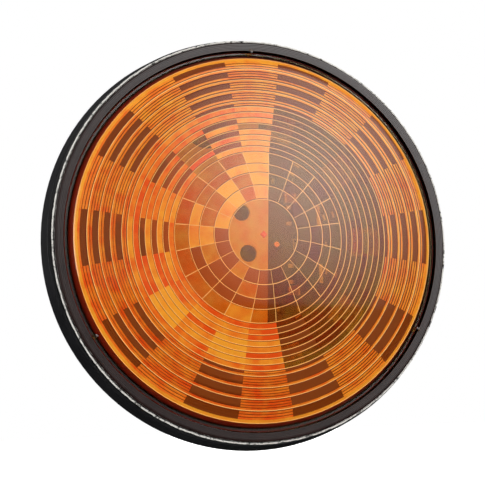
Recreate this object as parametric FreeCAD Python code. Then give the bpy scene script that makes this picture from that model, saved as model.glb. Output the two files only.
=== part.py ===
"""Sealed round amber LED lamp for a truck or trailer, 110 mm across.

Frame: the lamp axis is Y and the lens faces -Y, Z is up.  The origin is on the
lamp axis in the plane of the flange's seat, where the lamp stops against its
grommet.  A "depth" is a Y value, so it grows from the lens towards the plug.
All sizes are in millimetres.
"""

import FreeCAD, Part
import math
import os

# ---- driving dimensions ------------------------------------------------------

# housing
flange_radius = 54.75
flange_edge_round = 0.8
flange_front_radius = 53.8
neck_radius = 52.4
neck_depth = -6.9
neck_corner = 0.45
lip_depth = -9.1
lip_inner_radius = 51.6
ledge_depth = -6.8
mouth_radius = 48.2
mouth_step_depth = -2.4
cavity_top_radius = 46.8
cavity_top_depth = -1.0
cavity_radius = 46.6
cavity_floor_depth = 12.9
barrel_radius = 49.0
barrel_length = 13.0
back_depth = 15.4
back_radius = 47.0

# lens
joint_depth = -9.5
rim_radius = 52.3
rim_front_depth = -10.3
rim_round = 0.5
rim_inner_radius = 50.1
gutter_radius = 49.6
gutter_depth = -8.8
shoulder_start_radius = 49.1
shoulder_end_radius = 44.5
dome_apex_depth = -19.1
dome_sag = 4.9
lens_wall = 2.4
tooth_tip_depth = -12.3
outer_ring_start = 47.4
outer_ring_end_inset = 1.0
outer_ring_end_drop = 2.0
outer_ring_pitch = 2.9
outer_ring_count = 4
inner_ring_start = 34.4
inner_ring_pitch = 1.5125
inner_ring_count = 8
centre_step = 0.45
centre_step_radii = [18.9, 16.35, 12.8, 9.1]
foot_radius = 0.7
foot_height = 3.3
foot_circle_radius = 49.35
foot_angles = [90, 210, 330]

# weld flash squeezed out between the lens and the housing
flash_radius = 52.9

# LED board
board_radius = 45.5
board_front_depth = 3.0
board_thickness = 1.6
post_circle_radius = 41.0
post_radius = 3.6
post_angles = [90, 198, 306]
screw_shank_radius = 1.3
screw_length = 9.0
screw_head_radius = 2.8
screw_head_height = 1.6
screw_hole_radius = 1.7
screw_slot_width = 0.8

# LEDs, square four-legged packages with a small dome
led_count = 10
led_circle_radius = 33.0
led_width = 7.6
led_corner_cut = 0.8
led_back_depth = 1.5
led_front_depth = -1.7
led_dome_radius = 2.5
led_dome_height = 1.6
leg_offset = 2.54
leg_radius = 0.3
leg_end_depth = 5.3
leg_hole_radius = 0.4
frame_half_height = 3.0
frame_front_depth = 0.3
frame_thickness = 0.4
cup_radius = 1.25
cup_rim_radius = 1.05
cup_floor_radius = 0.65
cup_front_depth = -0.6
cup_floor_depth = 0.1
chip_width = 0.8
chip_height = 0.25

# bright plate over the left half of the board, inside the ring of LEDs
plate_radius = 36.5
plate_front_depth = -1.0
plate_thickness = 1.0
plate_edge_offset = 5.65
plate_edge_lean = 2.9
plate_led_opening = 5.9
plate_hole_radius = 2.3
plate_holes = [(-1.4, 8.25), (0.1, -2.8)]
plate_foot_radius = 1.6
plate_feet = [(31.0, 126), (31.0, 162), (31.0, 234), (15.0, 180)]

# driver parts on the open half of the board, each (x, z) or (radius, angle)
regulator_places = [(17.0, 8.0), (17.0, -8.0)]
regulator_size = (6.5, 2.3, 6.1)
suppressor_place = (18.0, 0.0)
suppressor_size = (6.9, 2.3, 5.6)
diode_places = [(26.0, 0.0), (11.5, 17.5), (11.5, -17.5)]
diode_size = (4.3, 2.2, 2.6)
capacitor_places = [(13.2, 12.6), (13.2, -12.6)]
capacitor_size = (3.2, 1.6, 2.5)
resistor_circle_radius = 25.5
resistor_size = (3.2, 0.6, 1.6)
terminal_length = 0.5
tab_length = 1.6
tab_thickness = 0.5
tab_width = 5.2
lead_width = 1.0

# connector: three round pins in a keyed socket
pin_spacing = 9.0
ground_pin_radius = 2.3
feed_pin_radius = 1.95
pin_tip_depth = 23.6
pin_tip_round = 0.9
pin_collar_extra = 0.7
pin_collar_depths = (13.4, 15.0)
tail_radius = 0.7
tail_end_depth = 2.1
tail_hole_radius = 0.8
socket_floor_depth = 15.0
socket_mouth_depth = 25.0
socket_width = 36.0
socket_height = 17.0
socket_round = 4.0
shroud_wall = 2.6
collar_width = 2.2
collar_thickness = 1.6
collar_round = 1.2
key_width = 3.0
key_height = 1.5
potting_depth = 6.6

# ---- worked-out values ---------------------------------------------------------

origin = FreeCAD.Vector(0, 0, 0)
lamp_axis = FreeCAD.Vector(0, 1, 0)
board_back_depth = board_front_depth + board_thickness
shoulder_end_depth = dome_apex_depth + dome_sag
dome_curve_radius = (shoulder_end_radius ** 2 + dome_sag ** 2) / (2 * dome_sag)
led_angles = [index * 360 / led_count for index in range(led_count)]
resistor_angles = [angle + 180 / led_count for angle in led_angles]
pin_places = {"ground_pin": -pin_spacing, "marker_pin": 0.0, "turn_pin": pin_spacing}
pin_radii = {"ground_pin": ground_pin_radius, "marker_pin": feed_pin_radius, "turn_pin": feed_pin_radius}


# ---- shape helpers ---------------------------------------------------------------

def point_at(radius, angle, depth):
    """Point at a radius and angle about the lamp axis, anticlockwise from +X seen from the lens."""
    turn = math.radians(angle)
    return FreeCAD.Vector(radius * math.cos(turn), depth, radius * math.sin(turn))


def flat_point(radius, depth):
    """Point of a profile that is later turned about the lamp axis."""
    return FreeCAD.Vector(radius, depth, 0)


def straight_edges(points):
    """Straight edges through profile points given as (radius, depth)."""
    corners = [flat_point(radius, depth) for radius, depth in points]
    return [Part.LineSegment(first, second).toShape() for first, second in zip(corners, corners[1:])]


def arc_edge(start, middle, end):
    """Arc through three profile points given as (radius, depth)."""
    return Part.Arc(flat_point(*start), flat_point(*middle), flat_point(*end)).toShape()


def turned(edges):
    """Solid made by turning a closed profile once round the lamp axis."""
    face = Part.Face(Part.Wire(Part.sortEdges(edges)[0]))
    return face.revolve(origin, lamp_axis, 360)


def turned_points(points):
    """Turned solid whose profile has straight sides only."""
    return turned(straight_edges(points + points[:1]))


def rod(radius, first_depth, last_depth, centre=origin):
    """Round bar along the lamp axis between two depths."""
    base = FreeCAD.Vector(centre.x, first_depth, centre.z)
    return Part.makeCylinder(radius, last_depth - first_depth, base, lamp_axis)


def cone(first_radius, last_radius, first_depth, last_depth, centre=origin):
    """Cone along the lamp axis between two depths."""
    base = FreeCAD.Vector(centre.x, first_depth, centre.z)
    return Part.makeCone(first_radius, last_radius, last_depth - first_depth, base, lamp_axis)


def block(size, centre_x, centre_z, back_depth_of_block):
    """Box of (width, depth, height) whose back face lies at the given depth."""
    width, depth, height = size
    corner = FreeCAD.Vector(centre_x - width / 2, back_depth_of_block - depth, centre_z - height / 2)
    return Part.makeBox(width, depth, height, corner)


def rounded_bar(width, height, corner_round, first_depth, last_depth):
    """Bar along the lamp axis with a round-cornered rectangle as its section."""
    bar = block((width, last_depth - first_depth, height), 0, 0, last_depth)
    long_edges = [edge for edge in bar.Edges if abs(edge.tangentAt(edge.FirstParameter).y) > 0.5]
    return bar.makeFillet(corner_round, long_edges)


def turn_to(shape, angle):
    """Copy of a shape turned about the lamp axis, anticlockwise seen from the lens."""
    copy = shape.copy()
    copy.rotate(origin, lamp_axis, -angle)
    return copy


def group(solids):
    """Separate solids kept together as one node."""
    return Part.makeCompound(solids)


def dome_depth(radius):
    """Depth of the lens's outer face at a radius inside the shoulder."""
    return dome_apex_depth + dome_curve_radius - math.sqrt(dome_curve_radius ** 2 - radius ** 2)


# ---- lens --------------------------------------------------------------------------

def lens_outer_edges():
    """Outer face, from the welded joint over the rim, gutter and shoulder to the apex."""
    rim_start = (rim_radius, joint_depth)
    rim_corner = (rim_radius, rim_front_depth + rim_round)
    rim_middle = (rim_radius - 0.29 * rim_round, rim_front_depth + 0.29 * rim_round)
    rim_face = (rim_radius - rim_round, rim_front_depth)
    rim_inner = (rim_inner_radius, rim_front_depth)
    gutter_outer = (gutter_radius, gutter_depth)
    gutter_inner = (shoulder_start_radius, gutter_depth)
    shoulder_middle = (
        shoulder_start_radius - 0.29 * (shoulder_start_radius - shoulder_end_radius),
        shoulder_end_depth + 0.33 * (gutter_depth - shoulder_end_depth),
    )
    shoulder_end = (shoulder_end_radius, shoulder_end_depth)
    half_radius = shoulder_end_radius / 2
    edges = straight_edges([rim_start, rim_corner])
    edges.append(arc_edge(rim_corner, rim_middle, rim_face))
    edges += straight_edges([rim_face, rim_inner, gutter_outer, gutter_inner])
    edges.append(arc_edge(gutter_inner, shoulder_middle, shoulder_end))
    edges.append(arc_edge(shoulder_end, (half_radius, dome_depth(half_radius)), (0, dome_apex_depth)))
    return edges


def lens_ring_radii():
    """Outer radius of each ring tooth, from the rim inwards."""
    outer = [outer_ring_start - outer_ring_pitch * index for index in range(outer_ring_count + 1)]
    inner = [inner_ring_start - inner_ring_pitch * index for index in range(inner_ring_count + 1)]
    return outer + inner


def lens_inner_points():
    """Inner face, from the apex out over the centre steps and ring teeth to the seat."""
    points = [(0, dome_apex_depth + lens_wall)]
    depth = dome_depth(0) + lens_wall
    for radius in reversed(centre_step_radii):
        points.append((radius, depth))
        depth += centre_step
        points.append((radius, depth))
    rings = list(reversed(lens_ring_radii()))
    points.append((rings[0], depth))
    points.append((rings[0], tooth_tip_depth))
    for smaller, larger in zip(rings, rings[1:]):
        root_depth = min(dome_depth(min(larger, shoulder_end_radius)) + lens_wall, tooth_tip_depth - 0.6)
        points.append((smaller + 0.3 * (larger - smaller), root_depth))
        points.append((larger - 0.15, tooth_tip_depth))
        if larger != rings[-1]:
            points.append((larger, tooth_tip_depth))
    points[-1] = (mouth_radius - outer_ring_end_inset, tooth_tip_depth + outer_ring_end_drop / 2)
    points.append((mouth_radius, tooth_tip_depth + outer_ring_end_drop))
    points.append((mouth_radius, ledge_depth))
    points.append((lip_inner_radius, ledge_depth))
    points.append((lip_inner_radius, joint_depth))
    points.append((rim_radius, joint_depth))
    return points


def make_lens():
    axis_edge = straight_edges([(0, dome_apex_depth), (0, dome_apex_depth + lens_wall)])
    body = turned(lens_outer_edges() + straight_edges(lens_inner_points()) + axis_edge)
    foot_centres = [point_at(foot_circle_radius, angle, 0) for angle in foot_angles]
    foot_base = gutter_depth + 0.2
    feet = [rod(foot_radius, gutter_depth - foot_height, foot_base, centre) for centre in foot_centres]
    return body.fuse(feet).removeSplitter()


def make_weld_flash():
    return turned_points([
        (lip_inner_radius, lip_depth), (flash_radius, lip_depth),
        (flash_radius, joint_depth), (lip_inner_radius, joint_depth),
    ])


# ---- housing -----------------------------------------------------------------------

def housing_shell():
    """Cup with its flange, lip and lens ledge."""
    edge_round = flange_edge_round
    corner = neck_corner
    outer = straight_edges([
        (lip_inner_radius, lip_depth), (neck_radius, lip_depth), (neck_radius, neck_depth),
        (flange_front_radius - corner, neck_depth),
    ])
    outer.append(arc_edge(
        (flange_front_radius - corner, neck_depth),
        (flange_front_radius - 0.29 * corner, neck_depth + 0.29 * corner),
        (flange_front_radius, neck_depth + corner),
    ))
    outer += straight_edges([(flange_front_radius, neck_depth + corner), (flange_radius, -edge_round)])
    outer.append(arc_edge(
        (flange_radius, -edge_round),
        (flange_radius - 0.29 * edge_round, -0.29 * edge_round),
        (flange_radius - edge_round, 0),
    ))
    outer += straight_edges([
        (flange_radius - edge_round, 0), (barrel_radius, 0), (barrel_radius, barrel_length),
        (back_radius, back_depth), (0, back_depth), (0, cavity_floor_depth),
        (cavity_radius, cavity_floor_depth), (cavity_top_radius, cavity_top_depth),
        (mouth_radius, mouth_step_depth), (mouth_radius, ledge_depth),
        (lip_inner_radius, ledge_depth), (lip_inner_radius, lip_depth),
    ])
    return turned(outer)


def board_post(angle):
    """Moulded post with a pilot hole the size of the screw's shank."""
    centre = point_at(post_circle_radius, angle, 0)
    post = rod(post_radius, board_back_depth, cavity_floor_depth, centre)
    screw_end_depth = board_front_depth + screw_length
    return post.cut(rod(screw_shank_radius, board_back_depth, screw_end_depth, centre))


def pin_solid(name):
    """Round connector pin with a locking collar and a thin tail to the board."""
    centre = FreeCAD.Vector(pin_places[name], 0, 0)
    radius = pin_radii[name]
    shank = rod(radius, cavity_floor_depth, pin_tip_depth - pin_tip_round, centre)
    tip = cone(radius, radius - pin_tip_round, pin_tip_depth - pin_tip_round, pin_tip_depth, centre)
    collar = rod(radius + pin_collar_extra, pin_collar_depths[0], pin_collar_depths[1], centre)
    tail = rod(tail_radius, tail_end_depth, cavity_floor_depth, centre)
    return shank.fuse([tip, collar, tail]).removeSplitter()


def shroud_bar(extra, first_depth, last_depth):
    """Bar of the plug shroud's outline, larger all round by the extra."""
    grown = shroud_wall + extra
    return rounded_bar(socket_width + 2 * grown, socket_height + 2 * grown,
                       socket_round + grown, first_depth, last_depth)


def make_housing():
    posts = [board_post(angle) for angle in post_angles]
    opening = shroud_bar(0, cavity_floor_depth, back_depth)
    return housing_shell().cut(opening).fuse(posts).removeSplitter()


def make_plug_socket():
    """Moulded socket set in the housing's back wall, with its collar, key and pin holes."""
    shroud = shroud_bar(0, cavity_floor_depth, socket_mouth_depth)
    collar = shroud_bar(collar_width, back_depth, back_depth + collar_thickness)
    collar_edges = [edge for edge in collar.Edges
                    if abs(edge.CenterOfMass.y - back_depth - collar_thickness) < 0.01]
    collar = collar.makeFillet(collar_round, collar_edges)
    socket = rounded_bar(socket_width, socket_height, socket_round, socket_floor_depth, socket_mouth_depth)
    key_centre = (socket_height - key_height) / 2
    key_length = socket_mouth_depth - socket_floor_depth
    key = block((key_width, key_length, key_height), 0, key_centre, socket_mouth_depth)
    pins = [pin_solid(name) for name in pin_places]
    return shroud.fuse(collar).cut(socket).fuse(key).cut(group(pins)).removeSplitter()


def make_potting():
    """Resin poured over the housing floor, round the posts and the pin tails."""
    slope = (cavity_top_radius - cavity_radius) / (cavity_floor_depth - cavity_top_depth)
    top_radius = cavity_radius + slope * (cavity_floor_depth - potting_depth)
    resin = cone(top_radius, cavity_radius, potting_depth, cavity_floor_depth)
    posts = [rod(post_radius, potting_depth, cavity_floor_depth, point_at(post_circle_radius, angle, 0))
             for angle in post_angles]
    tails = [rod(tail_radius, potting_depth, cavity_floor_depth, FreeCAD.Vector(place, 0, 0))
             for place in pin_places.values()]
    return resin.cut(group(posts + tails))


# ---- LED board -----------------------------------------------------------------------

def leg_places():
    """Centre of each LED leg, four to an LED."""
    places = []
    for angle in led_angles:
        for side in (-1, 1):
            for row in (-1, 1):
                local = FreeCAD.Vector(led_circle_radius + side * leg_offset, 0, row * leg_offset)
                turn = FreeCAD.Rotation(lamp_axis, -angle)
                places.append(turn.multVec(local))
    return places


def make_board():
    board = rod(board_radius, board_front_depth, board_back_depth)
    drilled = [(screw_hole_radius, point_at(post_circle_radius, angle, 0)) for angle in post_angles]
    drilled += [(tail_hole_radius, FreeCAD.Vector(place, 0, 0)) for place in pin_places.values()]
    drilled += [(leg_hole_radius, place) for place in leg_places()]
    holes = [rod(radius, board_front_depth, board_back_depth, centre) for radius, centre in drilled]
    return board.cut(group(holes))


def board_screw(angle):
    """Pan-head thread-forming screw with a straight slot."""
    centre = point_at(post_circle_radius, angle, 0)
    head_front = board_front_depth - screw_head_height
    head = rod(screw_head_radius, head_front, board_front_depth, centre)
    rim_edges = [edge for edge in head.Edges
                 if len(edge.Vertexes) == 1 and abs(edge.CenterOfMass.y - head_front) < 0.01]
    head = head.makeFillet(0.6 * screw_head_height, rim_edges)
    shank = rod(screw_shank_radius, board_front_depth, board_front_depth + screw_length, centre)
    slot_size = (2 * screw_head_radius, 0.5 * screw_head_height, screw_slot_width)
    slot = block(slot_size, centre.x, centre.z, head_front + slot_size[1])
    return head.cut(slot).fuse(shank).removeSplitter()


def led_frame():
    """The two metal halves of one LED's lead frame, with a reflector cup on the larger."""
    frame_back = frame_front_depth + frame_thickness
    small = block((2.2, frame_thickness, 2 * frame_half_height), led_circle_radius + 2.2, 0, frame_back)
    large = block((4.4, frame_thickness, 2 * frame_half_height), led_circle_radius - 1.1, 0, frame_back)
    centre = FreeCAD.Vector(led_circle_radius, 0, 0)
    large = large.cut(rod(cup_radius + 0.35, frame_front_depth, frame_back, centre).common(
        block((2, frame_thickness, 4), led_circle_radius + 1.9, 0, frame_back)))
    cup = rod(cup_radius, cup_front_depth, frame_back, centre)
    hollow = cone(cup_rim_radius, cup_floor_radius, cup_front_depth, cup_floor_depth, centre)
    small = small.cut(rod(cup_radius + 0.35, frame_front_depth, frame_back, centre))
    halves = [large.fuse(cup).cut(hollow), small]
    for index, side in enumerate((-1, 1)):
        for row in (-1, 1):
            place = FreeCAD.Vector(led_circle_radius + side * leg_offset, 0, row * leg_offset)
            halves[index] = halves[index].fuse(rod(leg_radius, frame_front_depth, leg_end_depth, place))
    return [half.removeSplitter() for half in halves]


def led_chip():
    size = (chip_width, chip_height, chip_width)
    return block(size, led_circle_radius, 0, cup_floor_depth)


def led_body():
    """Clear square package with a small dome, moulded round its frame and chip."""
    depth = led_back_depth - led_front_depth
    body = block((led_width, depth, led_width), led_circle_radius, 0, led_back_depth)
    marked_edge = [edge for edge in body.Edges
                   if abs(edge.tangentAt(edge.FirstParameter).y) > 0.5
                   and edge.CenterOfMass.x > led_circle_radius and edge.CenterOfMass.z > 0]
    body = body.makeChamfer(led_corner_cut, marked_edge)
    ball_radius = (led_dome_radius ** 2 + led_dome_height ** 2) / (2 * led_dome_height)
    ball_centre = FreeCAD.Vector(led_circle_radius, led_front_depth - led_dome_height + ball_radius, 0)
    ball = Part.makeSphere(ball_radius, ball_centre)
    cap_room = block((led_width, led_dome_height, led_width), led_circle_radius, 0, led_front_depth)
    dome = ball.common(cap_room)
    return body.fuse(dome).cut(group(led_frame() + [led_chip()])).removeSplitter()


def led_solder_joint(place):
    fillet = cone(0.95, leg_radius + 0.08, board_back_depth, leg_end_depth - 0.1, place)
    return fillet.cut(rod(leg_radius, board_back_depth, leg_end_depth, place))


def pin_solder_joint(place):
    centre = FreeCAD.Vector(place, 0, 0)
    fillet = cone(tail_radius + 0.15, 1.9, tail_end_depth + 0.05, board_front_depth, centre)
    return fillet.cut(rod(tail_radius, tail_end_depth, board_front_depth, centre))


def make_reflector_plate():
    """Bright part-round plate with a straight edge, LED openings, two round holes and feet."""
    back = plate_front_depth + plate_thickness
    disc = rod(plate_radius, plate_front_depth, back)
    cover_size = (2 * plate_radius, plate_thickness, 3 * plate_radius)
    cover = block(cover_size, plate_edge_offset + plate_radius, 0, back)
    cover.rotate(FreeCAD.Vector(plate_edge_offset, 0, 0), lamp_axis, plate_edge_lean)
    pierced = [(plate_led_opening, point_at(led_circle_radius, angle, 0)) for angle in led_angles]
    pierced += [(plate_hole_radius, FreeCAD.Vector(x, 0, z)) for x, z in plate_holes]
    openings = [rod(radius, plate_front_depth, back, centre) for radius, centre in pierced]
    feet = [rod(plate_foot_radius, back, board_front_depth, point_at(radius, angle, 0))
            for radius, angle in plate_feet]
    return disc.cut(cover).cut(group(openings)).fuse(feet).removeSplitter()


# ---- driver parts ----------------------------------------------------------------------

def chip_body(size, centre_x, centre_z):
    """Body of a two-ended chip part, between its end caps."""
    width, depth, height = size
    return block((width - 2 * terminal_length, depth, height), centre_x, centre_z, board_front_depth)


def end_caps(size, centre_x, centre_z):
    """The two soldered ends of a chip part."""
    width, depth, height = size
    shift = (width - terminal_length) / 2
    cap_size = (terminal_length, depth, height)
    return [block(cap_size, centre_x + side * shift, centre_z, board_front_depth) for side in (-1, 1)]


def bent_leads(size, centre_x, centre_z):
    """The two flat leads at the ends of a moulded diode."""
    width = size[0]
    shift = (width + tab_length / 2) / 2
    lead_size = (tab_length / 2, tab_thickness, size[2] * 0.55)
    return [block(lead_size, centre_x + side * shift, centre_z, board_front_depth) for side in (-1, 1)]


def regulator_metal(centre_x, centre_z):
    """Heat tab on one side of a regulator and its two legs on the other."""
    width = regulator_size[0]
    tab_x = centre_x + (width + tab_length) / 2
    leg_x = centre_x - (width + tab_length) / 2
    tab = block((tab_length, tab_thickness, tab_width), tab_x, centre_z, board_front_depth)
    legs = [block((tab_length, tab_thickness, lead_width), leg_x, centre_z + shift, board_front_depth)
            for shift in (-2.2, 2.2)]
    return [tab] + legs


def make_resistors():
    upright = chip_body(resistor_size, resistor_circle_radius, 0)
    return group([turn_to(upright, angle) for angle in resistor_angles])


def make_terminals():
    """Every tinned end, tab and lead of the driver parts."""
    metal = []
    for angle in resistor_angles:
        metal += [turn_to(cap, angle) for cap in end_caps(resistor_size, resistor_circle_radius, 0)]
    for place in capacitor_places:
        metal += end_caps(capacitor_size, *place)
    for place in diode_places:
        metal += bent_leads(diode_size, *place)
    metal += bent_leads(suppressor_size, *suppressor_place)
    for place in regulator_places:
        metal += regulator_metal(*place)
    return group(metal)


# ---- write every node --------------------------------------------------------------------

def main():
    os.makedirs("parts", exist_ok=True)
    leds = [turn_to(led_body(), angle) for angle in led_angles]
    frames = [turn_to(half, angle) for angle in led_angles for half in led_frame()]
    chips = [turn_to(led_chip(), angle) for angle in led_angles]
    regulators = [block(regulator_size, x, z, board_front_depth) for x, z in regulator_places]
    diodes = [block(diode_size, x, z, board_front_depth) for x, z in diode_places]
    nodes = {
        "lens": make_lens(),
        "weld_flash": make_weld_flash(),
        "housing": make_housing(),
        "plug_socket": make_plug_socket(),
        "potting_compound": make_potting(),
        "led_board": make_board(),
        "board_screws": group([board_screw(angle) for angle in post_angles]),
        "led_bodies": group(leds),
        "led_lead_frames": group(frames),
        "led_chips": group(chips),
        "led_solder_joints": group([led_solder_joint(place) for place in leg_places()]),
        "reflector_plate": make_reflector_plate(),
        "current_regulators": group(regulators),
        "surge_suppressor": block(suppressor_size, *suppressor_place, board_front_depth),
        "rectifier_diodes": group(diodes),
        "filter_capacitors": group([chip_body(capacitor_size, x, z) for x, z in capacitor_places]),
        "balance_resistors": make_resistors(),
        "component_terminals": make_terminals(),
        "pin_solder_joints": group([pin_solder_joint(place) for place in pin_places.values()]),
    }
    for name in pin_places:
        nodes[name] = pin_solid(name)
    for name, shape in nodes.items():
        shape.exportStep("parts/" + name + ".step")
        print(name, len(shape.Solids), "solids", round(shape.Volume, 1), "mm3", "valid", shape.isValid())


main()
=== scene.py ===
import math
import random

import bmesh
import bpy
from mathutils import Matrix, Vector, noise


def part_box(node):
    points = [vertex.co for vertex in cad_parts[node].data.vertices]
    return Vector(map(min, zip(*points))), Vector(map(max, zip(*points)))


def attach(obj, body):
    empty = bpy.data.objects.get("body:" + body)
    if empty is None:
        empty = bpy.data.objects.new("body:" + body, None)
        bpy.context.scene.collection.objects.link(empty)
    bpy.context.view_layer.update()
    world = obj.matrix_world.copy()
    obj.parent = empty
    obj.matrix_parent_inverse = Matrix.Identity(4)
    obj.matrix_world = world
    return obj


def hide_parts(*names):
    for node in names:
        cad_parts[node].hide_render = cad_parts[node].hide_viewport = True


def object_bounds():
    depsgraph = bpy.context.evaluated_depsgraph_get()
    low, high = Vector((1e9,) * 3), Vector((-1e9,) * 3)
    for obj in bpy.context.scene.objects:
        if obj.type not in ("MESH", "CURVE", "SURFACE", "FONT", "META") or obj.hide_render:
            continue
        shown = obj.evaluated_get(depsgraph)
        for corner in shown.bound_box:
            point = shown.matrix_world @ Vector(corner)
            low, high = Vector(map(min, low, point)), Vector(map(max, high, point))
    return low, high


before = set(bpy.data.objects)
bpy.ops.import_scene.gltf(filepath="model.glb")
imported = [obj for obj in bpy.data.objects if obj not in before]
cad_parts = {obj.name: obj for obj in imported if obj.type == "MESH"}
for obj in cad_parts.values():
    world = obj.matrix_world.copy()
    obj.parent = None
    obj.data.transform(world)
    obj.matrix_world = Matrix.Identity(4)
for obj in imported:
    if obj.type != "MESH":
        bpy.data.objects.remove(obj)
cadBounds = [list(corner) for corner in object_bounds()]
print("stage: frame loaded")

mm = 0.001
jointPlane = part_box("weld_flash")[0].y  # the lens is welded on here, and "forward" is measured from it
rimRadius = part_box("lens")[1].x / mm
domeHeight = (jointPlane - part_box("lens")[0].y) / mm


def hexColour(text):  # sRGB hex to the linear values that shaders use
    values = [int(text[i:i + 2], 16) / 255 for i in (1, 3, 5)]
    linear = [v / 12.92 if v <= 0.04045 else ((v + 0.055) / 1.055) ** 2.4 for v in values]
    return (*linear, 1.0)


def addNode(tree, kind, settings=None, links=None):
    node = tree.nodes.new(kind)
    for name, value in (settings or {}).items():
        if isinstance(name, int) or name in node.inputs:
            node.inputs[name].default_value = value
        else:
            setattr(node, name, value)
    for name, socket in (links or {}).items():
        tree.links.new(socket, node.inputs[name])
    return node


def newMaterial(name):
    material = bpy.data.materials.new(name)
    material.use_nodes = True
    material.node_tree.nodes.clear()
    return material, material.node_tree


def setSurface(tree, shader):
    output = addNode(tree, "ShaderNodeOutputMaterial")
    tree.links.new(shader, output.inputs["Surface"])


def objectNoise(tree, grainMm, detail=3.0):  # noise whose grain is a real size on the piece
    place = addNode(tree, "ShaderNodeTexCoord")
    settings = {"Scale": 1 / (grainMm * mm), "Detail": detail, "Roughness": 0.55}
    return addNode(tree, "ShaderNodeTexNoise", settings, {"Vector": place.outputs["Object"]})


def bumpFrom(tree, height, depthMm, strength=1.0):
    settings = {"Strength": strength, "Distance": depthMm * mm}
    return addNode(tree, "ShaderNodeBump", settings, {"Height": height})


def rampBetween(tree, factor, lowColour, highColour, lowStop=0.3, highStop=0.7):
    ramp = addNode(tree, "ShaderNodeValToRGB", {}, {"Fac": factor})
    ramp.color_ramp.elements[0].position = lowStop
    ramp.color_ramp.elements[0].color = hexColour(lowColour)
    ramp.color_ramp.elements[1].position = highStop
    ramp.color_ramp.elements[1].color = hexColour(highColour)
    return ramp.outputs["Color"]


def valueRange(tree, value, low, high, fromLow=0.0, fromHigh=1.0):
    settings = {"From Min": fromLow, "From Max": fromHigh, "To Min": low, "To Max": high}
    return addNode(tree, "ShaderNodeMapRange", settings, {"Value": value}).outputs["Result"]


amber = {
    "ior": 1.58,               # polycarbonate
    "skin": "#FFECC8",         # what a millimetre of amber leaves of white
    "skinRoughness": 0.06,
    "skinReflection": 0.055,
    "clearDeep": "#FFA848",    # see-through facets, from deep to pale; the tone paints them paler on the side towards the light
    "clearPale": "#FFE594",
    "clearShare": 0.82,
    # prism facets, from deep to pale; the tone paints them paler on the side towards the light
    "prismDeep": "#F05C06",
    "prismPale": "#FFC24A",
    "windowTint": "#D08A4A",
    "windowBody": "#B85C0C",
    "windowShare": 0.4,
    # painted highlight: pale colour of the thin lines on the ring crests and between the sectors
    "edge": "#FFDDA8",
    # painted shade: dark red of the steep tooth backs and the grooves between ridges
    "wall": "#7E1A07",
    "skirt": "#7A1C08",
}


def facetToneAndPaintedLight(tree):  # each facet's tone, partly random and partly painted light that is paler on the side towards the light, drifting slowly across it
    storedToneAndLight = addNode(tree, "ShaderNodeAttribute", {"attribute_name": "facetToneAndPaintedLight"}).outputs["Fac"]
    drift = valueRange(tree, objectNoise(tree, 4.0, 4.0).outputs["Fac"], -0.35, 0.35, 0.3, 0.7)
    return addNode(tree, "ShaderNodeMath", {"operation": "ADD"}, {0: storedToneAndLight, 1: drift}).outputs[0]


def polishedAmberSkin():  # moulded in a mirror-polished tool: a clear skin that reflects the room softly
    material, tree = newMaterial("polishedAmberPolycarbonate")
    tint = addNode(tree, "ShaderNodeBsdfTransparent", {"Color": hexColour(amber["skin"])})
    ripple = bumpFrom(tree, objectNoise(tree, 9.0, 1.0).outputs["Fac"], 0.05, 0.3)
    gloss = addNode(tree, "ShaderNodeBsdfGlossy", {"Roughness": amber["skinRoughness"]},
                    {"Normal": ripple.outputs["Normal"]})
    tilt = addNode(tree, "ShaderNodeLayerWeight", {"Blend": 0.5})
    rise = addNode(tree, "ShaderNodeMath", {"operation": "POWER", 1: 5.0}, {0: tilt.outputs["Facing"]})
    share = valueRange(tree, rise.outputs[0], amber["skinReflection"], 0.9)
    mix = addNode(tree, "ShaderNodeMixShader", {}, {0: share, 1: tint.outputs[0], 2: gloss.outputs[0]})
    setSurface(tree, mix.outputs[0])
    return material


def clearAmberFacets():  # smooth moulded facets that show the inside of the lamp through amber, their tint painted paler towards the light through the tone
    material, tree = newMaterial("clearAmberFacets")
    tone = facetToneAndPaintedLight(tree)
    colour = rampBetween(tree, tone, amber["clearDeep"], amber["clearPale"], 0.0, 1.0)
    through = addNode(tree, "ShaderNodeBsdfTransparent", {}, {"Color": colour})
    milky = rampBetween(tree, tone, amber["prismDeep"], amber["prismPale"], 0.0, 1.0)
    body = addNode(tree, "ShaderNodeBsdfPrincipled", {"Roughness": 0.35, "IOR": amber["ior"]},
                   {"Base Color": milky})
    mix = addNode(tree, "ShaderNodeMixShader", {0: amber["clearShare"]},
                  {1: body.outputs[0], 2: through.outputs[0]})
    setSurface(tree, mix.outputs[0])
    return material


def prismAmberRidges():  # fine moulded prisms that glow with the light they turn back, their colour painted paler towards the light through the tone
    material, tree = newMaterial("prismedAmberRidges")
    tone = facetToneAndPaintedLight(tree)
    colour = rampBetween(tree, tone, amber["prismDeep"], amber["prismPale"], 0.0, 1.0)
    body = addNode(tree, "ShaderNodeBsdfPrincipled", {"Roughness": 0.3, "IOR": amber["ior"]},
                   {"Base Color": colour})
    glow = addNode(tree, "ShaderNodeBsdfTranslucent", {}, {"Color": colour})
    mix = addNode(tree, "ShaderNodeMixShader", {0: 0.15}, {1: body.outputs[0], 2: glow.outputs[0]})
    setSurface(tree, mix.outputs[0])
    return material


def darkAmberWindows():  # flat facets with the dark cavity behind them
    material, tree = newMaterial("darkAmberWindows")
    through = addNode(tree, "ShaderNodeBsdfTransparent", {"Color": hexColour(amber["windowTint"])})
    body = addNode(tree, "ShaderNodeBsdfPrincipled", {
        "Base Color": hexColour(amber["windowBody"]), "Roughness": 0.4, "IOR": amber["ior"]})
    mix = addNode(tree, "ShaderNodeMixShader", {0: 1 - amber["windowShare"]},
                  {1: body.outputs[0], 2: through.outputs[0]})
    setSurface(tree, mix.outputs[0])
    return material


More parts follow.
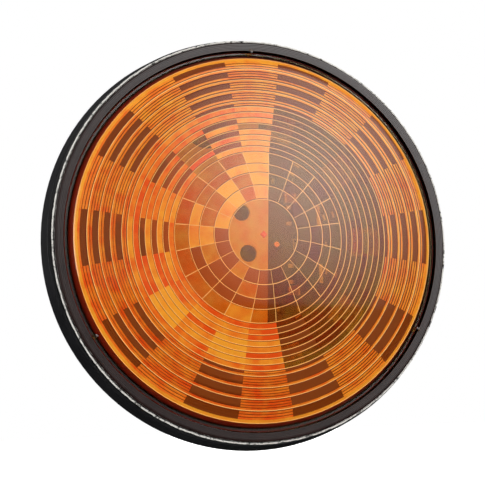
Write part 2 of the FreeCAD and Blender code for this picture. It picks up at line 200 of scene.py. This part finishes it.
def paintedHighlightEdges():  # rounded crests of the ring teeth, painted pale as thin painted highlight lines
    material, tree = newMaterial("paintedHighlightEdges")
    body = addNode(tree, "ShaderNodeBsdfPrincipled", {
        "Base Color": hexColour(amber["edge"]), "Roughness": 0.25, "IOR": amber["ior"]})
    setSurface(tree, body.outputs[0])
    return material


def paintedShadeWalls():  # steep backs of the teeth and the grooves between ridges, painted dark red as painted shade, seen as dark red lines
    material, tree = newMaterial("paintedShadeWalls")
    body = addNode(tree, "ShaderNodeBsdfPrincipled", {
        "Base Color": hexColour(amber["wall"]), "Roughness": 0.35, "IOR": amber["ior"]})
    through = addNode(tree, "ShaderNodeBsdfTransparent", {"Color": hexColour(amber["clearDeep"])})
    mix = addNode(tree, "ShaderNodeMixShader", {0: 0.3}, {1: body.outputs[0], 2: through.outputs[0]})
    setSurface(tree, mix.outputs[0])
    return material


def darkAmberRim():  # amber rim standing on the black housing: nearly black, with a soft gloss
    material, tree = newMaterial("darkAmberRim")
    drift = objectNoise(tree, 5.0, 3.0).outputs["Fac"]
    base = rampBetween(tree, drift, "#1C100E", "#2C1A17")
    rough = valueRange(tree, drift, 0.2, 0.3)
    body = addNode(tree, "ShaderNodeBsdfPrincipled", {"IOR": amber["ior"]},
                   {"Base Color": base, "Roughness": rough})
    setSurface(tree, body.outputs[0])
    return material


def redAmberSkirt():  # thick amber against the black housing, nearly opaque dark red
    material, tree = newMaterial("redAmberSkirt")
    body = addNode(tree, "ShaderNodeBsdfPrincipled", {
        "Base Color": hexColour(amber["skirt"]), "Roughness": 0.4, "IOR": amber["ior"]})
    setSurface(tree, body.outputs[0])
    return material


def mouldedBlackPlastic(name, colour, roughness, grainMm, grainDepth):  # matt-to-satin moulded black
    material, tree = newMaterial(name)
    grain = objectNoise(tree, grainMm, 4.0).outputs["Fac"]
    drift = objectNoise(tree, 14.0, 2.0).outputs["Fac"]
    base = rampBetween(tree, drift, colour[0], colour[1])
    rough = valueRange(tree, drift, roughness - 0.06, roughness + 0.08)
    bump = bumpFrom(tree, grain, grainDepth, 0.5)
    body = addNode(tree, "ShaderNodeBsdfPrincipled", {"IOR": 1.53},
                   {"Base Color": base, "Roughness": rough, "Normal": bump.outputs["Normal"]})
    setSurface(tree, body.outputs[0])
    return material


def shavedWeldPlastic():  # melted plastic torn by spin welding: flecked near-black and whitish, chalky and broken
    material, tree = newMaterial("shavedWeldPlastic")
    flecks = objectNoise(tree, 0.9, 5.0).outputs["Fac"]
    base = rampBetween(tree, flecks, "#1E1C1C", "#DAD7D0", 0.34, 0.48)
    bump = bumpFrom(tree, flecks, 0.12, 0.8)
    body = addNode(tree, "ShaderNodeBsdfPrincipled", {"Roughness": 0.5, "IOR": 1.55},
                   {"Base Color": base, "Normal": bump.outputs["Normal"]})
    setSurface(tree, body.outputs[0])
    return material


def grainedFinish(name, low, high, roughness, grainMm, bumpDepth, metallic=0.0, ior=1.5):  # one fine grain
    material, tree = newMaterial(name)
    grain = objectNoise(tree, grainMm, 4.0).outputs["Fac"]
    base = rampBetween(tree, grain, low, high)
    rough = valueRange(tree, grain, roughness - 0.08, roughness + 0.1)
    bump = bumpFrom(tree, grain, bumpDepth, 0.6)
    settings = {"Metallic": metallic}
    if not metallic:
        settings["IOR"] = ior
    body = addNode(tree, "ShaderNodeBsdfPrincipled", settings,
                   {"Base Color": base, "Roughness": rough, "Normal": bump.outputs["Normal"]})
    setSurface(tree, body.outputs[0])
    return material


def waterClearEpoxy():  # cast epoxy of the LED packages, clear enough to show the frame inside
    material, tree = newMaterial("waterClearEpoxy")
    through = addNode(tree, "ShaderNodeBsdfTransparent", {"Color": hexColour("#F2EFE6")})
    gloss = addNode(tree, "ShaderNodeBsdfGlossy", {"Roughness": 0.05})
    haze = addNode(tree, "ShaderNodeBsdfDiffuse", {"Color": hexColour("#E8E4DA")})
    weight = addNode(tree, "ShaderNodeLayerWeight", {"Blend": 0.3})
    share = valueRange(tree, weight.outputs["Facing"], 0.06, 0.55)
    shell = addNode(tree, "ShaderNodeMixShader", {}, {0: share, 1: through.outputs[0], 2: gloss.outputs[0]})
    mix = addNode(tree, "ShaderNodeMixShader", {0: 0.15}, {1: shell.outputs[0], 2: haze.outputs[0]})
    setSurface(tree, mix.outputs[0])
    return material


def alongForward(radius, forward, angle=0.0):  # a point at a radius, an angle and a height before the joint
    turn = math.radians(angle)
    return Vector((radius * mm * math.cos(turn), jointPlane - forward * mm, radius * mm * math.sin(turn)))


def addChain(bm, points, angle=0.0):
    verts = [bm.verts.new(alongForward(radius, forward, angle)) for radius, forward in points]
    edges = [bm.edges.new(pair) for pair in zip(verts, verts[1:])]
    return verts + edges


def spinChain(bm, geometry, degrees, steps):
    full = abs(degrees) >= 360
    made = bmesh.ops.spin(bm, geom=geometry, cent=(0, 0, 0), axis=(0, -1, 0), dvec=(0, 0, 0),
                          angle=math.radians(degrees), steps=steps, use_merge=full, use_duplicate=False)
    return made["geom_last"]


def arcPoints(start, end, bulge, count):  # points of a round corner, bulging towards the given corner
    points = []
    for i in range(count + 1):
        t = i / count * math.pi / 2
        along, across = math.sin(t), 1 - math.cos(t)
        points.append((start[0] + (bulge[0] - start[0]) * along + (end[0] - bulge[0]) * across,
                       start[1] + (bulge[1] - start[1]) * along + (end[1] - bulge[1]) * across))
    return points


def finishMesh(bm, name, materials, sharpDegrees=25.0):
    bmesh.ops.remove_doubles(bm, verts=bm.verts, dist=2e-6)
    bmesh.ops.recalc_face_normals(bm, faces=bm.faces)
    limit = math.radians(sharpDegrees)
    for face in bm.faces:
        face.smooth = True
    for edge in bm.edges:
        edge.smooth = len(edge.link_faces) == 2 and edge.calc_face_angle() < limit
    mesh = bpy.data.meshes.new(name)
    bm.to_mesh(mesh)
    bm.free()
    for material in materials:
        mesh.materials.append(material)
    piece = bpy.data.objects.new(name, mesh)
    bpy.context.scene.collection.objects.link(piece)
    return piece


lens = {
    "mouthRadius": 48.2,
    "plugRadius": 51.6,
    "plugDepth": -2.7,
    "rimFront": 0.8,
    "rimRound": 0.45,
    "roundSteps": 4,
    "rimInnerRadius": 50.1,
    "rimEdgeFall": (0.1, 0.12),
    "rimLines": (51.55, 51.15, 50.75, 50.4),
    "rimLineHalf": 0.06,
    "rimLineDepth": 0.05,
    "gutterRadius": 49.6,
    "gutterInner": 49.1,
    "gutterForward": -0.7,
    "gutterBevel": (0.14, 0.08),
    "shoulderRise": 0.15,
    "shoulderInset": (0.15, 0.35),
    "shoulderSteps": 12,
    "shoulderEnd": 44.5,
    "domeSag": 4.9,
    "domeSteps": 24,
    "outerSteps": 240,
    "sectors": 20,
    "firstBoundary": 9.0,
    "lineDegrees": 0.5,
    "sectorSteps": 6,
    "outerRings": (47.6, 44.5, 41.6, 38.7, 35.8),
    "innerRings": (34.4, 32.9, 31.35, 29.85, 28.3, 26.8, 25.3, 23.8, 22.3),
    "centreRings": (18.9, 16.35, 12.8, 9.1),
    "ringLine": 0.18,
    "ringWall": 0.22,
    "ridges": 4,
    "ridgeGap": 0.16,
    "ridgeHeight": 0.26,
    "clearHeight": 0.3,
    "rimRidgeHeight": 0.2,
    "lineDrop": 0.1,
    "innerWallShare": 0.7,     # the walls of the inner rings are narrower
    "windowStart": (0.5, 0.8),             # at the top, and what is added at the left
    "windowEnd": (1.75, 0.35, 1.0, 0.9),   # at the top, and what is added at the right, left and foot
    "windowLimit": 2.7,
    "skirtPoint": (48.7, -0.6),
    "flatForward": 3.0,
    "firstRingSlope": 0.45,
    "centreForward": (4.4, 5.4, 6.6, 7.0, 7.2),
    "feetAngles": (90, 210, 330),
    "footRadius": 0.7,
    "footCircle": 49.35,
    "footHeight": 3.2,
    "leftSectors": range(5, 16),           # the side that the bright plate fills
    "darkInnerSectors": (3, 4, 5, 8),
    "darkInside": 31.5,
    # painted highlight: these inner sectors are solid prisms, painted at the palest tone between the radii
    # below, as bright patches
    "brightInnerSectors": (6, 7),
    "brightBetween": (28, 33),
    "solidBelow": 0.8,                     # tones at which a facet of the left side is solid
    "windowBelow": 0.2,
    "prismAbove": 0.62,
    "discTone": 0.7,
    # painted light: the angle in degrees towards which the facets are painted paler, as if lit from there
    "paintedLightFrom": 50,
    "outerSpread": 0.25,
    "innerSpread": 0.9,
    "seed": 7,
}


def domeForward(radius):
    curve = (lens["shoulderEnd"] ** 2 + lens["domeSag"] ** 2) / (2 * lens["domeSag"])
    return domeHeight - (curve - math.sqrt(curve ** 2 - radius ** 2))


def lensOuterPoints():  # from the mouth of the skirt round the rim and over the dome to the apex
    rimFront = lens["rimFront"]
    rimRound = lens["rimRound"]
    points = [(lens["mouthRadius"], lens["plugDepth"]), (lens["plugRadius"], lens["plugDepth"]),
              (lens["plugRadius"], 0.0), (rimRadius, 0.0)]
    points += arcPoints((rimRadius, rimFront - rimRound), (rimRadius - rimRound, rimFront),
                        (rimRadius, rimFront), lens["roundSteps"])
    half = lens["rimLineHalf"]
    for radius in lens["rimLines"]:  # faint turning lines on the rim's face
        points += [(radius + half, rimFront), (radius, rimFront - lens["rimLineDepth"]),
                   (radius - half, rimFront)]
    edgeIn, edgeDown = lens["rimEdgeFall"]
    bevelOut, bevelUp = lens["gutterBevel"]
    points += [(lens["rimInnerRadius"], rimFront), (lens["rimInnerRadius"] - edgeIn, rimFront - edgeDown),
               (lens["gutterRadius"] + bevelOut, lens["gutterForward"] + bevelUp),
               (lens["gutterRadius"], lens["gutterForward"]), (lens["gutterInner"], lens["gutterForward"])]
    shoulderTop = (lens["shoulderEnd"], domeHeight - lens["domeSag"])
    insetIn, insetDown = lens["shoulderInset"]
    bulge = (lens["gutterInner"] - insetIn, shoulderTop[1] - insetDown)
    foot = (lens["gutterInner"], lens["gutterForward"] + lens["shoulderRise"])
    points += arcPoints(foot, shoulderTop, bulge, lens["shoulderSteps"])
    for i in range(1, lens["domeSteps"] + 1):
        radius = lens["shoulderEnd"] * (1 - i / lens["domeSteps"])
        points.append((radius, domeForward(radius)))
    return points


def ringForward(radius):
    outermost = lens["outerRings"][1]
    return lens["flatForward"] - max(0.0, radius - outermost) * lens["firstRingSlope"]


def windowSpan(sector):  # where the dark window of a ring tooth starts and ends, measured in from its line
    angle = math.radians(sector * 360 / lens["sectors"])
    left, right, low = max(0, -math.cos(angle)), max(0, math.cos(angle)), max(0, -math.sin(angle))
    start, startLeft = lens["windowStart"]
    end, endRight, endLeft, endLow = lens["windowEnd"]
    reach = end + endRight * right + endLeft * left + endLow * low
    return start + startLeft * left, min(lens["windowLimit"], reach)


def outerRingCells(larger, smaller, sector, tone):  # the ridges between two of the outer ring lines
    half = lens["ringLine"] / 2
    ridges = lens["ridges"] if larger - smaller > 2 else 2
    span = larger - smaller - 2 * half - lens["ringWall"] - (ridges - 1) * lens["ridgeGap"]
    width = span / ridges
    first, last = windowSpan(sector)
    cells = []
    radius = larger - half
    for i in range(ridges):
        for wide in ((True, False) if i < ridges - 1 else (True,)):
            step = width if wide else lens["ridgeGap"]
            middle = larger - radius + step / 2
            kind = "prism" if wide else "wall" if i == ridges // 2 - 1 else "groove"
            if sector % 2 == 0 and first < middle < last:
                kind = "window"
            if larger == lens["outerRings"][0] and i == 0:
                kind = "rim"
            cells.append((radius, radius - step, kind, tone))
            radius -= step
    cells.append((radius, smaller + half, "wall", tone))
    return cells


def reliefCells(sector, tones):  # (outer radius, inner radius, kind, tone) of every ring of one sector
    half = lens["ringLine"] / 2
    allRings = lens["outerRings"] + lens["innerRings"] + lens["centreRings"]
    split = len(lens["outerRings"]) + 1
    centreStart = lens["innerRings"][-1]
    cells = [(lens["skirtPoint"][0], allRings[0] + half, "skirt", 0.5)]
    isLeft = sector in lens["leftSectors"]
    pair = sector // 2 if sector % 2 == 0 else None
    brightLow, brightHigh = lens["brightBetween"]
    for ring, larger in enumerate(allRings):
        smaller = allRings[ring + 1] if ring + 1 < len(allRings) else 0.0
        tone = tones[(ring, sector)]
        cells.append((larger + half, larger - half, "edge", 0.5))
        if ring + 1 < split:
            cells += outerRingCells(larger, smaller, sector, tone)
            continue
        kind = "clear"
        if larger > centreStart:
            if isLeft and tone < lens["solidBelow"]:
                kind = "prism"
            if pair in lens["darkInnerSectors"] and smaller < lens["darkInside"] and ring % 2 == 1:
                kind = "window"
            # painted highlight: bright patches painted at the palest tone
            if pair in lens["brightInnerSectors"]:
                kind = "prism"
                tone = 1.0 if brightLow < larger < brightHigh else tone
        elif smaller == 0:
            tone = lens["discTone"]
        elif isLeft and tone < lens["windowBelow"]:
            kind = "window"
        elif isLeft and tone > lens["prismAbove"]:
            kind = "prism"
        wall = lens["ringWall"] * lens["innerWallShare"] if smaller > 0 else 0.0
        cells.append((larger - half, smaller + (half + wall if smaller else 0), kind, tone))
        if wall:
            cells.append((smaller + half + wall, smaller + half, "wall", tone))
    return cells


def reliefPoints(cells):  # the inner face's profile; its radii are the same in every sector
    outermost = lens["outerRings"][0]
    inner = lens["innerRings"][-1]
    centre = [inner] + list(lens["centreRings"])
    lifts = {"prism": lens["ridgeHeight"] / 2, "groove": -lens["ridgeHeight"] / 2, "edge": -lens["lineDrop"],
             "rim": lens["rimRidgeHeight"] / 2, "clear": lens["clearHeight"] / 2}
    points = [lens["skirtPoint"]]
    for outer, smaller, kind, _ in cells:
        if kind == "skirt":
            points.append((smaller, ringForward(outermost)))
            continue
        middle = (outer + smaller) / 2
        level = ringForward(middle)
        if middle < inner:
            level = lens["centreForward"][sum(1 for ring in centre if ring > middle) - 1]
        points.append((smaller, level + lifts.get(kind, 0.0)))
    return points


def cellAt(cells, radius):  # kind and tone of the facet at a radius
    for outer, inner, kind, tone in cells:
        if inner <= radius <= outer:
            return kind, tone
    return cells[-1][2], cells[-1][3]


def sectorOf(angle):  # sector 0 lies round 0 degrees and is a window sector
    turn = 360 / lens["sectors"]
    return int(((angle + lens["firstBoundary"]) % 360) // turn)


def onRadialLine(radius, angle):  # thin painted highlight lines between the sectors of the middle
    turn = 360 / lens["sectors"]
    return ((angle + lens["firstBoundary"]) % turn) < lens["lineDegrees"] and \
        lens["innerRings"][-1] > radius > lens["centreRings"][-1]


lensKinds = ("skin", "skirt", "edge", "wall", "window", "prism", "clear", "rimFace")
likeKinds = {"groove": "wall", "rim": "prism"}  # kinds that share another kind's material: grooves take the painted shade of the walls, the rim ridge the prism colour
# painted highlight: the first ridge at the rim gets a fixed pale tone, so it shows as a bright line all
# round
fixedTones = {"groove": 0.0, "rim": 0.9}


def makeTones():
    draw = random.Random(lens["seed"])
    rings = len(lens["outerRings"] + lens["innerRings"] + lens["centreRings"])
    tones = {}
    for ring in range(rings + 1):
        for sector in range(lens["sectors"]):  # painted light: the tone rises on the side towards the light, so the amber there is painted paler, plus a random spread
            turn = math.radians(sector * 360 / lens["sectors"] - lens["paintedLightFrom"])
            spread = lens["outerSpread"] if ring < len(lens["outerRings"]) else lens["innerSpread"]
            tone = 0.5 + 0.25 * math.cos(turn) + spread * (draw.random() - 0.5)
            tones[(ring, sector)] = min(1.0, max(0.0, tone))
    return tones


def addFoot(bm, angle):  # small round foot standing in the gutter
    base = alongForward(lens["footCircle"], lens["gutterForward"] + lens["footHeight"] / 2 - 0.05, angle)
    place = Matrix.Translation(base) @ Matrix.Rotation(math.radians(90), 4, "X")
    made = bmesh.ops.create_cone(bm, cap_ends=True, segments=20, radius1=lens["footRadius"] * mm,
                                 radius2=lens["footRadius"] * 0.9 * mm, depth=lens["footHeight"] * mm,
                                 matrix=place)
    edges = {edge for vert in made["verts"] for edge in vert.link_edges}
    rims = [edge for edge in edges if abs(edge.verts[0].co.y - edge.verts[1].co.y) < 1e-7]
    bmesh.ops.bevel(bm, geom=rims, offset=0.12 * mm, offset_type="OFFSET", segments=2, profile=0.5,
                    affect="EDGES", material=-1)


def addGateMark(bm):  # square stub where the plastic entered the mould
    centre = alongForward(0, lens["centreForward"][-1] + 0.2)
    place = Matrix.Translation(centre) @ Matrix.Rotation(math.radians(90), 4, "X")
    made = bmesh.ops.create_cone(bm, cap_ends=True, segments=4, radius1=1.0 * mm, radius2=0.8 * mm,
                                 depth=0.3 * mm, matrix=place)
    for face in {face for vert in made["verts"] for face in vert.link_faces}:
        face.material_index = lensKinds.index("prism")


def addOuterSkin(bm):  # spins the outside and gives each zone its kind
    spinChain(bm, addChain(bm, lensOuterPoints()), 360, lens["outerSteps"])
    bmesh.ops.remove_doubles(bm, verts=bm.verts, dist=2e-6)
    outerFaces = set(bm.faces)
    for face in outerFaces:
        centre = face.calc_center_median()
        radius = math.hypot(centre.x, centre.z) / mm
        behind = (centre.y - jointPlane) / mm
        inPlug = lens["mouthRadius"] < radius < lens["plugRadius"] + 0.01 and behind > -0.3
        isBevel = abs(radius - lens["gutterRadius"] - lens["gutterBevel"][0] / 2) < 0.08
        kind = "skin"
        if radius > lens["gutterInner"] and not inPlug:
            kind = "rimFace"
        if isBevel or (inPlug and behind > 0.8):
            kind = "skirt"
        face.material_index = lensKinds.index(kind)
    return outerFaces


def byRadius(geometry):  # the vertices of a chain, from the outside in
    verts = [item for item in geometry if isinstance(item, bmesh.types.BMVert)]
    return sorted(verts, key=lambda vert: -math.hypot(vert.co.x, vert.co.z))


def addRelief(bm, cells):  # every sector's profile, swept round its share of the circle
    turn = 360 / lens["sectors"]
    chains = []
    for sector in range(lens["sectors"]):
        angle = sector * turn - lens["firstBoundary"]
        first = addChain(bm, reliefPoints(cells[sector]), angle)
        lineEnd = spinChain(bm, first, lens["lineDegrees"], 1)
        last = spinChain(bm, lineEnd, turn - lens["lineDegrees"], lens["sectorSteps"])
        chains.append((byRadius(first), byRadius(last)))
    for index, (_, lastVerts) in enumerate(chains):  # walls where neighbouring sectors differ in height
        nextVerts = chains[(index + 1) % len(chains)][0]
        for a, b, c, d in zip(lastVerts, lastVerts[1:], nextVerts[1:], nextVerts):
            if max((a.co - d.co).length, (b.co - c.co).length) > 4e-6:
                bm.faces.new([a, b, c, d])
    bmesh.ops.remove_doubles(bm, verts=bm.verts, dist=2e-6)


def buildLens():
    bm = bmesh.new()
    toneLayer = bm.faces.layers.float.new("facetToneAndPaintedLight")
    outerFaces = addOuterSkin(bm)
    tones = makeTones()
    cells = [reliefCells(sector, tones) for sector in range(lens["sectors"])]
    addRelief(bm, cells)
    chord = math.cos(math.pi / lens["sectors"] / lens["sectorSteps"])  # a flat facet falls short of its arc
    for face in bm.faces:
        if face in outerFaces:
            continue
        centre = face.calc_center_median()
        radius = math.hypot(centre.x, centre.z) / mm / chord
        angle = math.degrees(math.atan2(centre.z, centre.x))
        kind, tone = cellAt(cells[sectorOf(angle)], radius)
        if onRadialLine(radius, angle):
            kind = "edge"
        face.material_index = lensKinds.index(likeKinds.get(kind, kind))
        face[toneLayer] = fixedTones.get(kind, tone)
    rims = [edge for edge in bm.edges if edge.is_boundary]
    made = bmesh.ops.bridge_loops(bm, edges=rims)
    for face in made["faces"]:
        face.material_index = lensKinds.index("skirt")
    for angle in lens["feetAngles"]:
        addFoot(bm, angle)
    addGateMark(bm)
    materials = [polishedAmberSkin(), redAmberSkirt(), paintedHighlightEdges(), paintedShadeWalls(),
                 darkAmberWindows(), prismAmberRidges(), clearAmberFacets(), darkAmberRim()]
    piece = finishMesh(bm, "amber_lens", materials)
    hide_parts("lens")
    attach(piece, "root")
    return piece


flash = {
    "beads": ((52.7, -0.12, 0.24), (52.15, 0.36, 0.14)),  # radius, forward, thickness of each bead
    "beadSides": 8,
    "flatness": 0.8,
    "steps": 900,
    "ragged": 0.1,
    "wave": 1.4,
    "bulgeLimit": 0.1,         # the bead breaks inwards more than it bulges
}


def buildFlash():
    bm = bmesh.new()
    turns = [i * math.tau / flash["beadSides"] for i in range(flash["beadSides"])]
    for radius, forward, thick in flash["beads"]:
        ring = [(radius + thick * math.cos(turn), forward + thick * flash["flatness"] * math.sin(turn))
                for turn in turns]
        spinChain(bm, addChain(bm, ring + ring[:1]), 360, flash["steps"])
    bmesh.ops.remove_doubles(bm, verts=bm.verts, dist=2e-6)
    for vert in bm.verts:
        where = vert.co / (flash["wave"] * mm)
        outward = Vector((vert.co.x, 0, vert.co.z)).normalized()
        push = noise.noise(where) * 0.7 + noise.noise(where * 3.1) * 0.6
        lift = noise.noise(where + Vector((31, 7, 12))) * 0.6
        vert.co += outward * min(push, flash["bulgeLimit"]) * flash["ragged"] * 2 * mm
        vert.co.y += lift * flash["ragged"] * mm
    piece = finishMesh(bm, "weld_flash_beads", [shavedWeldPlastic()], 60)
    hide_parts("weld_flash")
    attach(piece, "root")
    return piece


buildLens()
print("stage: lens built")
buildFlash()
print("stage: weld flash built")


def paintNodes():
    black = mouldedBlackPlastic("mouldedBlackAbs", ("#141417", "#1D1D20"), 0.36, 0.35, 0.015)
    nylon = mouldedBlackPlastic("mouldedBlackNylon", ("#1E1E20", "#29292B"), 0.48, 0.3, 0.02)
    resin = grainedFinish("pouredBlackEpoxy", "#0A0A0B", "#131314", 0.25, 6.0, 0.1)  # a wavy wet black
    board = grainedFinish("darkSolderMask", "#141112", "#221E20", 0.4, 1.2, 0.01)  # satin near-black
    # clean warm white, behind the LEDs
    white = grainedFinish("mouldedWhitePolycarbonate", "#E9E6DF", "#F4F2EC", 0.35, 2.0, 0.01, ior=1.58)
    solder = grainedFinish("frozenSolder", "#6A6C6F", "#85878A", 0.3, 0.5, 0.03, metallic=1.0)  # dull silver
    # bright metals: grey tin, yellow brass and pale zinc
    tin = grainedFinish("tinPlatedCopper", "#8C8C88", "#A5A5A2", 0.28, 0.6, 0.01, metallic=1.0)
    brass = grainedFinish("turnedBrass", "#B08A45", "#D8B36A", 0.25, 0.8, 0.01, metallic=1.0)
    zinc = grainedFinish("zincPlatedSteel", "#9FA0A0", "#BFC1C2", 0.3, 0.7, 0.01, metallic=1.0)
    body = grainedFinish("mouldedComponentEpoxy", "#0C0C0D", "#171718", 0.55, 0.4, 0.02)  # matt black
    ceramic = grainedFinish("tanCapacitorCeramic", "#5C3F26", "#7A5736", 0.45, 0.5, 0.01)  # dry tan brown
    glaze = grainedFinish("blackResistorGlaze", "#0D0D0F", "#16161A", 0.3, 0.5, 0.01)  # glossy black
    die = grainedFinish("amberDie", "#8A5A12", "#C98A20", 0.4, 0.1, 0.005)  # a deep gold speck
    finishes = {
        "housing": black, "plug_socket": nylon, "potting_compound": resin, "led_board": board,
        "reflector_plate": white, "led_solder_joints": solder, "pin_solder_joints": solder,
        "led_lead_frames": tin, "component_terminals": tin, "ground_pin": brass, "marker_pin": brass,
        "turn_pin": brass, "board_screws": zinc, "current_regulators": body, "surge_suppressor": body,
        "rectifier_diodes": body, "filter_capacitors": ceramic, "balance_resistors": glaze,
        "led_chips": die, "led_bodies": waterClearEpoxy(),
    }
    for node, material in finishes.items():
        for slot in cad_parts[node].material_slots:
            slot.material = material


paintNodes()
print("stage: CAD nodes finished")


studio = {
    "floorDrop": 0.075,        # metres from the lowest edge of the lamp, which hangs free above the floor
    "floorRadius": 4.0,
    "floorColour": "#DCDCDC",
    "floorMirrored": "#202020",  # what polished surfaces see of it, so that it throws no glare
    "floorLift": (0.12, 1.0),  # how far it is lifted towards white, near the lamp and away from it
    "liftStarts": 0.35,
    "liftEnds": 0.9,
    "softboxPlace": (0.474, -0.971, 0.393),
    "softboxSize": (1.67, 1.67),
    "softboxStrength": 4.3,
    "softboxFade": 0.04,       # share of a panel's strength that is left at its edges
    "backPlace": (0.75, 0.8, 0.75),
    "backSize": (0.8, 0.6),
    "backStrength": 7.0,
    "backFade": 0.3,
    "fillPlace": (-1.0, 0.0, 0.05),
    "fillSize": (0.25, 0.9),
    "fillStrength": 4.0,
    "fillFade": 0.5,
    "fadeRadius": 0.42,
    "ambient": 1.5,            # light from the room in front, and the dimmer room behind
    "ambientBehind": 0.6,
    "mirrored": 0.1,           # share of the room that polished surfaces mirror
}


def backdropShare(tree):  # 1 for rays that should meet a white background
    path = addNode(tree, "ShaderNodeLightPath")
    either = addNode(tree, "ShaderNodeMath", {"operation": "MAXIMUM"},
                     {0: path.outputs["Is Camera Ray"], 1: path.outputs["Is Transmission Ray"]})
    return path, either.outputs[0]


def buildWorld():
    world = bpy.data.worlds.new("whiteStudio")
    world.use_nodes = True
    tree = world.node_tree
    tree.nodes.clear()
    path, seen = backdropShare(tree)
    place = addNode(tree, "ShaderNodeTexCoord")
    axes = addNode(tree, "ShaderNodeSeparateXYZ", {}, {"Vector": place.outputs["Generated"]})
    level = valueRange(tree, axes.outputs["Y"], studio["ambient"], studio["ambientBehind"], -0.1, 0.35)
    mirrored = valueRange(tree, path.outputs["Is Glossy Ray"], 1.0, studio["mirrored"])
    shared = addNode(tree, "ShaderNodeMath", {"operation": "MULTIPLY"}, {0: level, 1: mirrored})
    strength = addNode(tree, "ShaderNodeMath", {"operation": "MAXIMUM"}, {0: shared.outputs[0], 1: seen})
    sky = addNode(tree, "ShaderNodeBackground", {"Color": (1, 1, 1, 1)}, {"Strength": strength.outputs[0]})
    output = addNode(tree, "ShaderNodeOutputWorld")
    tree.links.new(sky.outputs[0], output.inputs["Surface"])
    bpy.context.scene.world = world


def buildFloor():
    bm = bmesh.new()
    low = cadBounds[0][2] - studio["floorDrop"]
    bmesh.ops.create_circle(bm, cap_ends=True, segments=96, radius=studio["floorRadius"],
                            matrix=Matrix.Translation((0, 0, low)))
    material, tree = newMaterial("paleStudioFloor")
    path, seen = backdropShare(tree)
    shade = rampBetween(tree, path.outputs["Is Glossy Ray"], studio["floorColour"], studio["floorMirrored"],
                        0.0, 1.0)
    body = addNode(tree, "ShaderNodeBsdfDiffuse", {}, {"Color": shade})
    place = addNode(tree, "ShaderNodeTexCoord")
    away = addNode(tree, "ShaderNodeVectorMath", {"operation": "LENGTH"}, {0: place.outputs["Object"]})
    near, far = studio["floorLift"]
    lifted = valueRange(tree, away.outputs["Value"], near, far, studio["liftStarts"], studio["liftEnds"])
    lift = addNode(tree, "ShaderNodeMath", {"operation": "MULTIPLY"}, {0: seen, 1: lifted})
    glow = addNode(tree, "ShaderNodeEmission", {"Color": (1, 1, 1, 1)}, {"Strength": lift.outputs[0]})
    total = addNode(tree, "ShaderNodeAddShader", {}, {0: body.outputs[0], 1: glow.outputs[0]})
    setSurface(tree, total.outputs[0])
    floor = finishMesh(bm, "studio_floor", [material])


def buildPanel(name, place, size, strength, fade):  # soft light panel, brightest in its middle
    bm = bmesh.new()
    bmesh.ops.create_grid(bm, x_segments=1, y_segments=1, size=0.5)
    material, tree = newMaterial(name + "Light")
    where = addNode(tree, "ShaderNodeTexCoord")
    centred = addNode(tree, "ShaderNodeVectorMath", {"operation": "LENGTH"}, {0: where.outputs["Object"]})
    spread = {"interpolation_type": "SMOOTHSTEP", "From Max": studio["fadeRadius"], "To Min": strength,
              "To Max": strength * fade}
    falloff = addNode(tree, "ShaderNodeMapRange", spread, {"Value": centred.outputs["Value"]})
    glow = addNode(tree, "ShaderNodeEmission", {"Color": (1, 1, 1, 1)},
                   {"Strength": falloff.outputs["Result"]})
    setSurface(tree, glow.outputs[0])
    panel = finishMesh(bm, name, [material])
    aim = (-Vector(place)).to_track_quat("-Z", "Y").to_matrix().to_4x4()
    panel.matrix_world = Matrix.Translation(place) @ aim @ Matrix.Diagonal((size[0], size[1], 1, 1))
    panel.visible_camera = False
    panel.visible_transmission = False


buildWorld()
buildFloor()
buildPanel("key_softbox", studio["softboxPlace"], studio["softboxSize"], studio["softboxStrength"],
           studio["softboxFade"])
buildPanel("back_softbox", studio["backPlace"], studio["backSize"], studio["backStrength"],
           studio["backFade"])
buildPanel("side_strip", studio["fillPlace"], studio["fillSize"], studio["fillStrength"],
           studio["fillFade"])
print("stage: studio built")

view = {
    "azimuth": 15.14,     # degrees to the left of the lens's own axis
    "elevation": -7.61,
    "roll": -2.22,
    "distance": 0.3195,
    "aim": (-0.00346, -0.00843, -0.00093),
    "focal": 91.23,
}


def buildCamera():
    azimuth = math.radians(view["azimuth"])
    elevation = math.radians(view["elevation"])
    back = Vector((-math.sin(azimuth) * math.cos(elevation), -math.cos(azimuth) * math.cos(elevation),
                   math.sin(elevation)))
    level = Vector((math.cos(azimuth), -math.sin(azimuth), 0))
    upright = back.cross(level)
    turned = Matrix.Rotation(math.radians(view["roll"]), 3, back)
    right, up = turned @ level, turned @ upright
    camera = bpy.data.objects.new("studio_camera", bpy.data.cameras.new("studio_camera"))
    bpy.context.scene.collection.objects.link(camera)
    place = Vector(view["aim"]) + back * view["distance"]
    camera.matrix_world = Matrix.Translation(place) @ Matrix((right, up, back)).transposed().to_4x4()
    camera.data.lens = view["focal"]
    camera.data.sensor_width = 36.0
    camera.data.clip_start = 0.01
    bpy.context.scene.camera = camera


buildCamera()
bpy.context.scene.view_settings.view_transform = "Standard"
